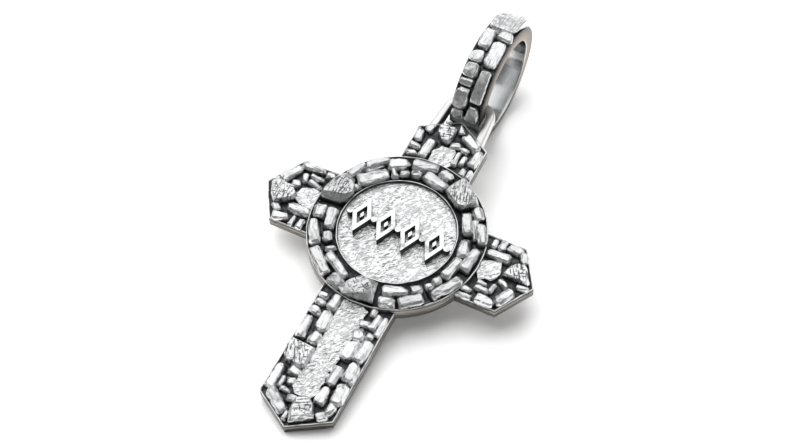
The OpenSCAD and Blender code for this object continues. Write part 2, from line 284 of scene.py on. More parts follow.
def raise_faces(bm, faces, height):
    """Extrudes faces straight up, and returns the raised faces."""
    made = bmesh.ops.extrude_face_region(bm, geom=faces)["geom"]
    bmesh.ops.translate(bm, vec=(0, 0, height), verts=verts_of(made))
    return faces_of(made)


def raise_over(bm, faces, height):
    """Extrudes faces straight up and clears away what they leave inside the solid."""
    lone = [f for f in faces if all(e.is_boundary for e in f.edges)]
    raised = raise_faces(bm, faces, height)
    inside = [f for f in faces if f.is_valid and f not in lone]
    bmesh.ops.delete(bm, geom=inside, context="FACES_ONLY")
    return raised


def sharp_edges(bm, least_turn, top=-math.inf):
    """Edges whose faces turn by more than some radians, at a height or above it."""
    return [e for e in bm.edges
            if e.calc_face_angle(0) > least_turn and min(v.co.z for v in e.verts) > top - 0.01]


def round_edges(bm, edges, width, segments=2):
    bmesh.ops.bevel(bm, geom=edges, offset=width, segments=segments, profile=0.5,
                    affect="EDGES", clamp_overlap=True, material=-1)
    bm.normal_update()


def paint(faces, materials, finish):
    """Points faces at one finish in their piece's list of materials."""
    for face in faces:
        face.material_index = materials.index(finish)


# %% [markdown]
# ## Shader maths in plain Python
#
# A node tree is a formula, so it reads best as one. A Value wraps a socket, and +, -, * on
# it add Math nodes. A Formula is a tree being built, and its one method adds any other node.

# %% A small shader language
class Value:
    def __init__(self, formula, socket):
        self.formula = formula
        self.socket = socket

    def __add__(self, other):
        return self.formula.maths("ADD", self, other)

    def __sub__(self, other):
        return self.formula.maths("SUBTRACT", self, other)

    def __mul__(self, other):
        return self.formula.maths("MULTIPLY", self, other)

    def __rsub__(self, other):
        return self.formula.maths("SUBTRACT", other, self)

    __radd__ = __add__
    __rmul__ = __mul__


class Formula:
    def __init__(self, tree):
        self.tree = tree
        self.tree.nodes.clear()

    def node(self, kind, settings=None, values=None, out=0):
        made = self.tree.nodes.new(kind)
        for key, value in (settings or {}).items():
            setattr(made, key, value)
        for key, value in (values or {}).items():
            socket = made.inputs[key]
            if isinstance(value, Value):
                self.tree.links.new(value.socket, socket)
            else:
                socket.default_value = value
        return Value(self, made.outputs[out] if made.outputs else None)

    def maths(self, operation, first, second=0.0):
        return self.node("ShaderNodeMath", {"operation": operation}, {0: first, 1: second})

    def step(self, value, low, high):
        """0 below low, 1 above high, and a soft rise between."""
        return self.node("ShaderNodeMapRange", {"interpolation_type": "SMOOTHSTEP"},
                         {"Value": value, "From Min": low, "From Max": high})

    def mix(self, share, first, second):
        settings = {"data_type": "RGBA"}
        return self.node("ShaderNodeMix", settings, {0: share, 6: first, 7: second}, out=2)

    def attribute(self, name, out="Fac"):
        return self.node("ShaderNodeAttribute", {"attribute_name": name}, out=out)


# %% A surface's formula
WHITE = (1, 1, 1, 1)


class Finish(Formula):
    """A surface's formula, and the material that it makes."""

    def __init__(self, name):
        self.material = bpy.data.materials.new(name)
        self.material.use_nodes = True
        super().__init__(self.material.node_tree)
        self.place = self.node("ShaderNodeTexCoord", out="Object")

    def grain(self, sizes_mm, detail=3.0, turn=0.0, place=None):
        """Cloudy noise. Its lumps have the sizes given along, across and down."""
        mapped = self.node("ShaderNodeMapping", {"vector_type": "TEXTURE"},
                           {"Vector": place or self.place, "Rotation": (0, 0, turn),
                            "Scale": [size * MM for size in sizes_mm]})
        return self.node("ShaderNodeTexNoise", None,
                         {"Vector": mapped, "Scale": 1.0, "Detail": detail})

    def cloud(self, size_mm, detail=3.0):
        """Cloudy noise with lumps as long as they are wide."""
        return self.grain((size_mm, size_mm, size_mm), detail)

    def lines(self, sizes_mm, width, turn=0.0):
        """1 along thin wandering lines, where a cloudy noise crosses its middle value."""
        off = self.maths("ABSOLUTE", self.grain(sizes_mm, turn=turn) - 0.5)
        return 1 - self.step(off, 0.3 * width, width)

    def shine(self, colour, roughness, metallic=1.0, gloss=0.5, tint=WHITE, bump=None,
              bump_mm=0.02):
        values = {"Base Color": colour, "Roughness": roughness, "Metallic": metallic,
                  "Specular IOR Level": gloss, "Specular Tint": tint}
        if bump is not None:
            values["Normal"] = self.node("ShaderNodeBump", None,
                                         {"Height": bump, "Distance": bump_mm * MM})
        surface = self.node("ShaderNodeBsdfPrincipled", None, values)
        self.node("ShaderNodeOutputMaterial", None, {"Surface": surface})
        return self.material


# %% [markdown]
# ## Finishes of the cobbled face
#
# The casting was dipped until it turned black, then rubbed: the silver came back wherever the
# cloth reached. So a stone is one formula from its foot to its top. Each vertex knows how high
# it stands, and the formula lets the black through below. The chisel's marks are noise
# stretched along the stone, so each vertex also knows its place in the stone's own frame. The
# ground is brighter and finely scratched, and what lies between the stones stays matt: black
# oxide is no metal, so it gets no metal's reflections.

# %% Finishes of the cobbled face
WHITE_SILVER = (0.955, 0.96, 0.965, 1)
GROUND_WHITE = (0.98, 0.985, 0.99, 1)
SILVER = (0.925, 0.93, 0.935, 1)
GREY_SILVER = (0.29, 0.295, 0.30, 1)
DARK_SILVER = (0.15, 0.155, 0.16, 1)
OXIDE = (0.085, 0.087, 0.09, 1)
BLACK_OXIDE = (0.03, 0.031, 0.033, 1)
BLACK_TONES = (BLACK_OXIDE, (0.085, 0.088, 0.092, 1))
GROOVE_TONES = ((0.06, 0.062, 0.065, 1), (0.16, 0.165, 0.17, 1))


def hewn_silver():
    f = Finish("hewn_silver")
    height = f.attribute("height")
    scored = f.attribute("scored")
    # Darker stones: a random share is oxide that the cloth left. Painted shade lies on the
    # medallion's outer stones, which tilt away from the light, and on the bail's stones next to
    # the ring.
    oxide_and_shade = f.attribute("oxide_and_shade")
    own = f.attribute("own", "Vector")
    cloud = f.cloud(0.5, 4.0)
    patch = f.step(f.cloud(0.9, 2.0), 0.4, 0.6)
    strokes = f.step(f.grain((0.9, 0.16, 0.5), 2.0, place=own), 0.52, 0.6)
    crossed = f.step(f.grain((0.16, 0.7, 0.5), 2.0, place=own), 0.57, 0.65)
    streaks = f.step(f.grain((1.7, 0.2, 0.6), 3.0, place=own), 0.45, 0.72)
    hatched = f.maths("MAXIMUM", strokes, crossed) * scored
    marks = f.maths("MAXIMUM", hatched, streaks * patch * 0.7)
    silver_share = f.step(height + (cloud - 0.5) * 0.5 - oxide_and_shade * 0.5, 0.12, 0.6)
    bright = f.mix(marks, WHITE_SILVER, f.mix(scored, GREY_SILVER, DARK_SILVER))
    colour = f.mix(silver_share * (1 - 0.75 * oxide_and_shade), OXIDE, bright)
    rough = 0.46 - silver_share * 0.14
    relief = cloud + f.cloud(0.1) * 0.2 - marks * 0.5
    return f.shine(colour, rough, bump=relief, bump_mm=0.05)


def ground_silver():
    f = Finish("ground_silver")
    creases = f.lines((1.1, 0.5, 1.0), 0.05, turn=1.05)
    scratches = f.step(f.grain((0.5, 0.14, 0.4), 2.0, turn=0.7), 0.57, 0.64)
    patch = f.step(f.cloud(2.8, 2.0), 0.42, 0.6)
    marked = f.maths("MAXIMUM", creases * 0.4, scratches * (0.5 + 0.4 * patch))
    silver_share = f.step(f.attribute("height"), 0.0, 0.16)
    colour = f.mix(silver_share * (1 - marked), DARK_SILVER, GROUND_WHITE)
    relief = f.cloud(0.2) * 0.3 - marked
    return f.shine(colour, 0.42, bump=relief, bump_mm=0.03)


def blackened_silver(name, tones):
    f = Finish(name)
    cloud = f.cloud(0.5, 4.0)
    colour = f.mix(f.step(cloud, 0.4, 0.7), *tones)
    return f.shine(colour, 0.45, metallic=0.0, gloss=0.3, bump=cloud, bump_mm=0.08)


def lip_silver():
    f = Finish("lip_silver")
    cloud = f.cloud(1.1)
    rubbed = f.mix(f.step(cloud, 0.5, 0.68) * 0.7, SILVER, GREY_SILVER)
    # The lip darkens where painted shade lies: at the upper arm's tip, under the bail.
    colour = f.mix(f.attribute("oxide_and_shade"), rubbed, OXIDE)
    return f.shine(colour, 0.28, bump=cloud, bump_mm=0.03)


HEWN = hewn_silver()
GROUND = ground_silver()
BLACK = blackened_silver("blackened_silver", BLACK_TONES)
GROOVE_GREY = blackened_silver("groove_grey", GROOVE_TONES)
LIP = lip_silver()
print("finishes of the face:", [m.name for m in (HEWN, GROUND, BLACK, GROOVE_GREY, LIP)])

# %% [markdown]
# ## Finishes of the plain metal
#
# Walls and back were never blackened, only dulled by the mould: the walls keep fine level
# streaks, and the back the strokes of a file. The walls' dark tones are partly tarnish and
# partly painted shade, for the shaded table that they mirror, and at the upper arm's tip
# under the bail they get painted shadow as well. Ring and bail were polished, so they mirror
# the studio. Where they lie in shade, next to each other and along the band's outer rims,
# painted shade takes their shine as well as their colour: it turns the silver dark and, at
# the same rate, less of a metal.

# %% Finishes of the plain metal
# The walls' two tones: partly tarnish, partly painted shade for the shaded table that they
# mirror.
WALL_TONES = ((0.17, 0.155, 0.14, 1), (0.34, 0.325, 0.305, 1))
BACK_TONES = ((0.74, 0.73, 0.71, 1), (0.84, 0.83, 0.82, 1))
WIRE_TONES = ((0.86, 0.85, 0.84, 1), (0.76, 0.75, 0.74, 1))
INSIDE_TONES = ((0.53, 0.54, 0.545, 1), (0.75, 0.765, 0.77, 1))
SIDE_TONES = ((0.2, 0.178, 0.157, 1), (0.29, 0.265, 0.24, 1))
SIDE_TINT = (1.0, 0.91, 0.83, 1)


def wall_silver():
    f = Finish("wall_silver")
    streaks = f.grain((3.0, 3.0, 0.19), 4.0)
    tarnish_and_shade = f.mix(f.step(streaks + f.cloud(3.0, 2.0) * 0.5, 0.55, 1.0), *WALL_TONES)
    # Painted shadow of the bail darkens the walls at the upper arm's tip.
    colour = f.mix(f.attribute("oxide_and_shade"), tarnish_and_shade, OXIDE)
    return f.shine(colour, 0.32, bump=streaks, bump_mm=0.02)


def back_silver():
    f = Finish("back_silver")
    strokes = f.grain((0.35, 0.025, 0.35), 4.0, turn=0.3)
    return f.shine(f.mix(f.cloud(4.0), *BACK_TONES), 0.34, bump=strokes, bump_mm=0.008)


def polished_silver(name, tones, roughness, tint=WHITE):
    f = Finish(name)
    cloud = f.cloud(2.4, 5.0)
    scratch = f.grain((0.12, 0.012, 0.012), 2.0)
    # Painted shade where ring and bail lie in shade next to each other, and along the band's
    # outer rims: it darkens the silver and takes its metal away.
    oxide_and_shade = f.attribute("oxide_and_shade")
    colour = f.mix(oxide_and_shade, f.mix(cloud, *tones), BLACK_OXIDE)
    return f.shine(colour, roughness + cloud * 0.08, 1 - oxide_and_shade, 0.15, tint, bump=scratch,
                   bump_mm=0.003)


WALL = wall_silver()
BACK = back_silver()
WIRE = polished_silver("wire_silver", WIRE_TONES, 0.26)
INSIDE = polished_silver("inside_silver", INSIDE_TONES, 0.1)
SIDE = polished_silver("side_silver", SIDE_TONES, 0.24, SIDE_TINT)
CROSS_SLOT = "antique_silver"
BAIL_SLOT = "polished_silver"
print("finishes of the plain metal:", [m.name for m in (WALL, BACK, WIRE, INSIDE, SIDE)])

# %% [markdown]
# ## The plate
#
# The plan of the cross is a face of sixteen corners. Its long sides are cut into short ones,
# and it is extruded to the lip's height in a few steps, which leave a thin scored line along
# the wall. Then it is inset by the lip's width, and the middle is pushed down to the bed. Slow
# noise bends the lip a little, because it was carved by hand in wax. A boolean would cut the
# bed as well, but insets keep the mesh in clean rings that bevel without trouble. The noise
# for a vector starts at a place drawn by chance, so it gets a seed, and every run is alike.

# %% Plate
noise.seed_set(21)
LIP_W = 0.2
SLOPE = LIP_W / 2
LINE = (0.30, 0.27, 0.23, 0.20)
LINE_DEEP = 0.05


def cross_outline():
    outline = []
    for far, turn in ((arm_reach, 0), (head_reach, 90), (arm_reach, 180), (foot_reach, 270)):
        spin = Matrix.Rotation(math.radians(turn), 3, "Z")
        shoulder = far - point_h
        for x, y in ((shoulder, -arm_half), (far, 0), (shoulder, arm_half), (arm_half, arm_half)):
            outline.append(spin @ Vector((x, y, 0)))
    return outline


def in_line(z, lip, margin=0.0):
    """Whether a height lies in the line scored below a lip."""
    return lip - LINE[0] + margin < z < lip - LINE[3] - margin


def hand_carve(bm, low, amount, size_mm=1.1):
    """Bends all vertices above a height by slow noise."""
    for v in bm.verts:
        if v.co.z > low:
            bend = noise.noise_vector(v.co / size_mm)
            v.co += Vector((bend.x, bend.y, bend.z)) * amount


def make_plate():
    piece_mm = 0.4
    bail_shadow_from = head_reach - 2.2
    bail_shadow_over = 0.8
    darkest_bail_shadow = 0.75
    materials = [WALL, LIP, BLACK, BACK]
    bm = bmesh.new()
    floor_face = bm.faces.new([bm.verts.new(p) for p in cross_outline()])
    for edge in bm.edges[:]:
        cuts = int(edge.calc_length() / piece_mm)
        bmesh.ops.subdivide_edges(bm, edges=[edge], cuts=cuts)
    top = [floor_face]
    below = 0
    for under_lip in LINE + (0,):
        z = PLATE_LIP - under_lip
        top = raise_over(bm, top, z - below)
        below = z
    bmesh.ops.recalc_face_normals(bm, faces=bm.faces)
    bm.normal_update()
    for v in [v for v in bm.verts if in_line(v.co.z, PLATE_LIP, 0.01)]:
        v.co -= v.normal * LINE_DEEP
    paint([f for f in bm.faces if in_line(f.calc_center_median().z, PLATE_LIP)], materials, BLACK)
    lip = bmesh.ops.inset_region(bm, faces=top, thickness=LIP_W - SLOPE,
                                 use_even_offset=True)["faces"]
    lip += bmesh.ops.inset_region(bm, faces=top, thickness=SLOPE, depth=-SLOPE,
                                  use_even_offset=True)["faces"]
    paint(lip, materials, LIP)
    before = set(bm.faces)
    bed = raise_over(bm, top, PLATE_BED - PLATE_LIP + SLOPE)
    paint(set(bm.faces) - before | set(bed), materials, BLACK)
    paint([floor_face], materials, BACK)
    round_edges(bm, sharp_edges(bm, 0.6, PLATE_LIP), 0.03)
    hand_carve(bm, PLATE_BED + 0.1, 0.06)
    bm.normal_update()
    # Painted shadow of the bail: the upper arm's tip darkens towards the bail.
    oxide_and_shade = bm.verts.layers.float.new("oxide_and_shade")
    for v in bm.verts:
        v[oxide_and_shade] = clamp((v.co.y - bail_shadow_from) / bail_shadow_over) * darkest_bail_shadow
    make_piece(bm, "plate", materials, CROSS_SLOT, "cross")


make_plate()

# %% [markdown]
# ## The medallion
#
# A turned drum: its profile is spun round the middle, with a lip outside, a bead inside and
# the same scored line along its wall. The field inside the bead is crumpled like old leather,
# by moving each vertex up or down. A noise that is longer than it is wide crosses zero along
# wandering lines, and those are the creases: broad ones, fine ones, and low lumps over all.
# A bump in the material would be cheaper, but the light has to catch real creases here.

# %% Crumpled ground
CREASE_LIE = math.radians(60)
BROAD_CREASES = (0.9, 0.45, 6)
FINE_CREASES = (0.42, 0.24, 5)
CRUMPLE_MIDDLE = 0.4


def beside_crease(along, across, seed, creases):
    """0 in a crease, and 1 a little way off it."""
    long_mm, wide_mm, steep = creases
    return min(steep * abs(noise.noise(Vector((along / long_mm, across / wide_mm, seed)))), 1)


def crumple(x, y, seed):
    """Height of crumpled, leathery ground, from 0 in its creases to about 1."""
    along = x * math.cos(CREASE_LIE) + y * math.sin(CREASE_LIE)
    across = y * math.cos(CREASE_LIE) - x * math.sin(CREASE_LIE)
    broad = beside_crease(along, across, seed, BROAD_CREASES)
    fine = beside_crease(along, across, seed + 9, FINE_CREASES)
    lumps = noise.fractal(Vector((x, y, seed)) * 2.6, 0.8, 2.1, 4)
    return broad * 0.35 + fine * 0.35 + 0.25 + 0.05 * lumps


# %% Medallion
def spin_profile(profile, steps):
    """Turns a list of (r, z) round the z axis into a closed mesh."""
    bm = bmesh.new()
    verts = [bm.verts.new((r, 0, z)) for r, z in profile]
    edges = [bm.edges.new(pair) for pair in zip(verts, verts[1:])]
    bmesh.ops.spin(bm, geom=verts + edges, cent=(0, 0, 0), axis=(0, 0, 1), dvec=(0, 0, 0),
                   angle=2 * math.pi, steps=steps, use_merge=True, use_duplicate=False)
    bmesh.ops.remove_doubles(bm, verts=bm.verts, dist=0.0005)
    bmesh.ops.recalc_face_normals(bm, faces=bm.faces)
    return bm


def make_medallion():
    under = 0.02
    soft = 0.05
    rings = 76
    relief = 0.08
    fade_w = 0.3
    lip_in = DISC_R - LIP_W
    bead_out = FIELD_R + LIP_W
    halfway = DISC_BED / 2
    materials = [WALL, GROUND, LIP, BLACK, BACK]
    profile = [(0, under), (DISC_R - soft, under), (DISC_R, soft),
               (DISC_R, DISC_LIP - LINE[0]), (DISC_R - LINE_DEEP, DISC_LIP - LINE[1]),
               (DISC_R - LINE_DEEP, DISC_LIP - LINE[2]), (DISC_R, DISC_LIP - LINE[3]),
               (DISC_R, DISC_LIP - soft), (DISC_R - soft, DISC_LIP),
               (lip_in + SLOPE, DISC_LIP), (lip_in, DISC_LIP - SLOPE),
               (lip_in, DISC_BED), (bead_out, DISC_BED), (bead_out, DISC_LIP - SLOPE),
               (bead_out - SLOPE / 2, DISC_LIP), (FIELD_R + SLOPE / 2, DISC_LIP),
               (FIELD_R, DISC_LIP - SLOPE), (FIELD_R, DISC_BED)]
    profile += [(FIELD_R * (1 - i / rings), DISC_BED) for i in range(1, rings + 1)]
    bm = spin_profile(profile, steps=400)
    bm.normal_update()
    for face in bm.faces:
        c = face.calc_center_median()
        upper = c.z > halfway
        if upper and reach(c) < FIELD_R - 0.01:
            finish = GROUND
        elif c.z > DISC_LIP - soft * 0.6:
            finish = LIP
        elif upper and reach(c) < lip_in + SLOPE:
            finish = BLACK
        elif in_line(c.z, DISC_LIP):
            finish = BLACK
        elif face.normal.z < -0.5:
            finish = BACK
        else:
            finish = WALL
        paint([face], materials, finish)
    height = bm.verts.layers.float.new("height")
    for v in bm.verts:
        r = reach(v.co)
        if r < FIELD_R - 0.05 and v.co.z > halfway:
            h = crumple(v.co.x, v.co.y, 0.0)
            fade = min((FIELD_R - r) / fade_w, 1)
            v.co.z += relief * (h - CRUMPLE_MIDDLE) * fade
            v[height] = h * fade
    hand_carve(bm, DISC_LIP - 0.1, 0.05)
    make_piece(bm, "medallion", materials, CROSS_SLOT)


make_medallion()

# %% [markdown]
# ## The raised row
#
# Four open lozenges with a small solid one inside, and beads between them. Each is a flat
# shape raised from the field, with a bright top and blackened sides. The shapes are read off
# the model, as the nearly level faces at their height. Five stones of the medallion end at
# that height too: they get such a block each, which the hewn stone then all but covers.

# %% Raised row
NEARLY_LEVEL = 0.99


def make_ornaments():
    materials = [LIP, BLACK]
    bm = bmesh.new()
    tops = level_faces(cross_copy, ORNAMENT_TOP, NEARLY_LEVEL)
    for top in tops:
        bm.faces.new([bm.verts.new(v.co) for v in top.verts])
    bmesh.ops.remove_doubles(bm, verts=bm.verts, dist=MERGE_MM)
    raise_faces(bm, bm.faces[:], DISC_BED - SUNK - ORNAMENT_TOP)
    bmesh.ops.recalc_face_normals(bm, faces=bm.faces)
    bm.normal_update()
    paint([f for f in bm.faces if f.normal.z <= 0.9], materials, BLACK)
    round_edges(bm, sharp_edges(bm, 0.5, ORNAMENT_TOP), 0.05)
    print(len(tops), "flat shapes raised")
    make_piece(bm, "raised_row", materials, CROSS_SLOT)


make_ornaments()

# %% [markdown]
# ## Where the stones lie
#
# Each stone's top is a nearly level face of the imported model, which gives its place, its size
# and the way it lies. Beds, lips and ornaments are exactly level, so a slight tilt tells the
# stones from them, and their heights tell panels, common stones and big stones apart. The big
# ones are left out here, since they follow as a list of their own.

# %% Find the stones' tops
LEAST_TOP = 0.03
MOST_TILT = math.radians(9)
LOWEST_STONE = 1.38
BIG_ARM_STONE = 1.8
BIG_DISC_STONE = 2.6


def cross_tops(low, high):
    """Centre and outline of each nearly level face in a band of heights."""
    tops = []
    for face in cross_copy.faces:
        c = face.calc_center_median()
        zs = [v.co.z for v in face.verts]
        level = max(zs) - min(zs) < 0.0005
        if level or face.normal.z < math.cos(MOST_TILT) or face.calc_area() < LEAST_TOP:
            continue
        if low < c.z < high and reach(c) > FIELD_R:
            tops.append((c.copy(), [v.co.copy() for v in face.verts]))
    return tops


arm_tops = [t for t in cross_tops(LOWEST_STONE, BIG_ARM_STONE) if reach(t[0]) > DISC_R - 0.1]
disc_tops = [t for t in cross_tops(DISC_LIP + 0.2, BIG_DISC_STONE)
             if reach(t[0]) <= DISC_R - 0.1]
panel_tops = [t for t in cross_tops(PLATE_LIP, LOWEST_STONE) if reach(t[0]) > DISC_R - 1]
print("stones:", len(arm_tops), "on the arms,", len(disc_tops), "on the medallion,",
      len(panel_tops), "ground panels")


# %% [markdown]
# ## The eight big stones
#
# The big stones catch the eye first, so each has an outline of its own. A row is the height
# of its top, the way its chisel marks run, in degrees, and the corners of its top, and then
# the corners of its foot where that leans out further on one side than the other.

# %% Big stones
BIG_STONES = {
    "arm_stones": [
        (1.95, 94,
         [(-14.2, -0.1), (-13.5, 0.4), (-12.1, 0.2), (-11.4, -0.4), (-11.5, -1.0),
          (-12.4, -1.7), (-13.0, -2.0), (-13.6, -1.3)],
         []),
        (1.90, 120,
         [(11.8, 0.1), (12.0, 1.0), (12.8, 1.8), (13.3, 1.8), (14.3, 0.3), (14.2, 0.0)],
         []),
        (1.90, 18,
         [(-1.7, 13.6), (-1.2, 14.1), (-0.1, 14.0), (0.1, 12.9), (-0.2, 12.1), (-0.8, 12.0),
          (-1.5, 12.7)],
         []),
        (1.95, 20,
         [(-0.1, -20.8), (0.2, -20.4), (0.6, -20.3), (1.5, -20.8), (2.0, -21.7), (0.3, -22.7),
          (-0.1, -21.8)],
         [(-0.4, -20.8), (0.2, -20.1), (0.8, -20.1), (1.7, -20.7), (2.3, -21.9), (0.2, -23.2),
          (-0.3, -22.3)]),
        (1.90, 118,
         [(-3.5, -15.3), (-1.3, -15.4), (-1.2, -17.5), (-1.8, -17.6), (-3.1, -17.5),
          (-3.5, -17.0), (-3.65, -16.2)],
         []),
    ],
    "medallion_stones": [
        (2.75, 89,
         [(-8.7, 0.6), (-8.6, 1.4), (-8.2, 2.4), (-7.9, 2.9), (-7.4, 3.1), (-6.8, 3.0),
          (-6.1, 2.5), (-5.9, 1.7), (-6.5, 1.1), (-7.7, 0.8)],
         [(-8.9, 0.1), (-8.2, 0.1), (-7.5, 0.3), (-6.6, 0.3), (-6.1, 0.9), (-5.9, 2.2),
          (-6.6, 3.5), (-7.6, 3.8), (-8.4, 3.0), (-8.9, 1.4)]),
        (2.75, 107,
         [(2.8, 5.9), (2.8, 6.6), (3.4, 7.8), (3.6, 8.0), (4.1, 7.7), (4.9, 7.2), (5.5, 6.6),
          (5.9, 6.0), (5.6, 5.5), (5.1, 5.0), (4.5, 4.9), (3.8, 5.2)],
         [(2.4, 6.1), (4.2, 4.8), (4.9, 4.8), (6.3, 5.9), (5.6, 6.9), (4.1, 8.1), (3.4, 8.3),
          (2.5, 6.9)]),
        (2.80, 50,
         [(-1.5, -8.6), (-1.5, -8.0), (-1.0, -7.2), (-0.5, -6.8), (0.1, -6.7), (0.7, -7.0),
          (0.9, -7.4), (0.7, -8.0), (0.3, -8.5), (-0.3, -8.8)],
         [(-2.2, -8.6), (-1.5, -9.0), (0.1, -8.95), (1.7, -8.7), (1.5, -7.6), (1.2, -6.5),
          (-0.6, -6.4), (-1.4, -7.0)]),
    ],
}
print("big stones:", {name: len(rows) for name, rows in BIG_STONES.items()})

# %% [markdown]
# ## How a stone is hewn
#
# A real chisel leaves flat facets that meet in crisp arrises. A hull gives the same: it is
# the skin of flat faces wrapped tight round a few points. A common stone has three rings of
# eight points, one round its top, one round its shoulders and one round its foot, each a
# rectangle with its corners cut off by chance. It is hewn in a frame of its own, x along its
# long side and z up, and carried to its place after. A subdivision surface was the other way
# to worn blocks, but it gives pebbles, not hewn stones.

# %% Hew a stone
WANDER = 0.1
CUT_ALONG = (0.1, 0.4)
CUT_ACROSS = (0.06, 0.32)


def corners_of(long, wide, taper, rng):
    """Corners of a rectangle whose far end is narrower, each corner cut by a random share."""
    small = min(long, wide)
    points = []
    for x_side, y_side in ((1, 1), (1, -1), (-1, 1), (-1, -1)):
        share = taper if x_side > 0 else 1
        corner = Vector((x_side * long / 2, y_side * wide / 2 * share, 0))
        corner += Vector((rng.uniform(-WANDER, WANDER), rng.uniform(-WANDER, WANDER), 0)) * small
        points.append(corner - Vector((x_side * small * rng.uniform(*CUT_ALONG), 0, 0)))
        points.append(corner - Vector((0, y_side * small * rng.uniform(*CUT_ACROSS), 0)))
    return points


def hull(points):
    """The solid wrapped round some points, with its nearly flat parts made flat."""
    bm = bmesh.new()
    for point in points:
        bm.verts.new(point)
    bmesh.ops.convex_hull(bm, input=bm.verts)
    inside = [v for v in bm.verts if not v.link_faces]
    bmesh.ops.delete(bm, geom=inside, context="VERTS")
    bmesh.ops.dissolve_limit(bm, angle_limit=math.radians(7), verts=bm.verts, edges=bm.edges)
    bmesh.ops.recalc_face_normals(bm, faces=bm.faces)
    return bm


def hew(long, wide, taper, foot, grown, rng):
    """A stone in its own frame, its top at z = 0, its foot below and its shoulders grown."""
    top_grown = 0.03
    foot_grown = grown + 0.1
    small = min(long, wide, 1.3)
    shoulder = 0.1 + 0.12 * small
    dip = 0.06 + 0.07 * small
    points = []
    for point in corners_of(long + 2 * top_grown, wide + 2 * top_grown, taper, rng):
        points.append(point + Vector((0, 0, rng.uniform(-0.65, 0.35) * dip)))
    for point in corners_of(long + 2 * grown, wide + 2 * grown, taper, rng):
        points.append(point - Vector((0, 0, shoulder * rng.uniform(0.6, 1.7))))
    for point in corners_of(long + 2 * foot_grown, wide + 2 * foot_grown, taper, rng):
        points.append(point + Vector((0, 0, foot)))
    return hull(points)


def hew_big(top, outline, foot, foot_outline, rng):
    """A big stone in its place: a hull round its top and its foot."""
    foot_share = 1.14
    foot_height = 0.6
    middle = sum((Vector(p) for p in outline), Vector((0, 0))) / len(outline)
    grown = [middle + (Vector(p) - middle) * foot_share for p in outline]
    points = [Vector((x, y, top + rng.uniform(-0.07, 0.02))) for x, y in outline]
    for x, y in foot_outline or grown:
        points.append(Vector((x, y, top - (1 - foot_height) * (top - foot))))
        points.append(Vector((x, y, foot)))
    return hull(points)


# %% A stone's own frame
def long_side(outline):
    """The direction of an outline's longest side."""
    sides = [b - a for a, b in zip(outline, outline[1:] + outline[:1])]
    return max(sides, key=lambda s: s.length).normalized()


def own_frame(centre, along, up):
    """The matrix from a stone's own frame to the plan: x along its long side, z up."""
    across = up.cross(along).normalized()
    along = across.cross(up).normalized()
    turn = Matrix((along, across, up)).transposed().to_4x4()
    return Matrix.Translation(centre) @ turn


def spans(outline):
    """Length, width, and width at the far end against the near end, in a stone's own frame."""
    far = [p.y for p in outline if p.x > 0]
    near = [p.y for p in outline if p.x <= 0]
    long = max(p.x for p in outline) - min(p.x for p in outline)
    near_wide = max(near) - min(near)
    return long, near_wide, (max(far) - min(far)) / near_wide


# %% [markdown]
# ## From blocks to cobbles
#
# All the stones of one bed become one piece, so they are gathered into one bmesh, in which
# each vertex keeps its stone's number. Their edges are cut short enough for noise to bend
# them, and two sizes of noise push the surface in and out, as casting and wear do. Last, each
# vertex is told what the finish asks: its height on the stone, how much chisel work it shows,
# how much oxide the cloth left and how much painted shade it gets, and its place in the
# stone's own frame. Stones lie seven millimetres apart in that space, so no two share their
# marks.

# %% Gather, refine and weather
def gather(blocks):
    """One bmesh of many hewn blocks. Each vertex keeps its stone's number."""
    bm = bmesh.new()
    number = bm.verts.layers.int.new("number")
    scratch = bpy.data.meshes.new("scratch")
    for index, block in enumerate(blocks):
        start = len(bm.verts)
        block.to_mesh(scratch)
        block.free()
        bm.from_mesh(scratch)
        bm.verts.ensure_lookup_table()
        for v in bm.verts[start:]:
            v[number] = index
    bpy.data.meshes.remove(scratch)
    return bm


def refine(bm, edge_mm):
    """Cuts all long edges until none is much over edge_mm."""
    for _ in range(6):
        bmesh.ops.triangulate(bm, faces=bm.faces)
        long = [e for e in bm.edges if e.calc_length() > edge_mm * 1.4]
        if not long:
            break
        bmesh.ops.subdivide_edges(bm, edges=long, cuts=1)
    bmesh.ops.triangulate(bm, faces=bm.faces)
    bm.normal_update()


def weather(bm, coarse, fine):
    """Pushes each vertex in or out by slow and quick noise."""
    for v in bm.verts:
        slow = noise.noise(v.co * 1.3)
        quick = noise.noise(v.co * 3.4)
        v.co += v.normal * (coarse * slow + fine * quick)


class Finding:
    """What the finish asks of each vertex of a stone, written into the mesh's layers."""

    APART = 7.0

    def __init__(self, bm):
        self.height = bm.verts.layers.float.new("height")
        self.scored = bm.verts.layers.float.new("scored")
        self.oxide_and_shade = bm.verts.layers.float.new("oxide_and_shade")
        self.own = bm.verts.layers.float_vector.new("own")

    def note(self, v, number, own, height, scored, oxide_and_shade):
        v[self.height] = height
        v[self.scored] = scored
        v[self.oxide_and_shade] = oxide_and_shade
        v[self.own] = (own + Vector((0, number * self.APART, 0))) * MM


# %% [markdown]
# ## The stones of the cross
#
# A stone is grown a little past its top's outline, so that the gaps close to dark seams. On
# the medallion the stones nearer its rim lean outwards, as cobbles on a mound do, and they
# get painted shade, more the nearer they lie to the rim, since they tilt away from the light.

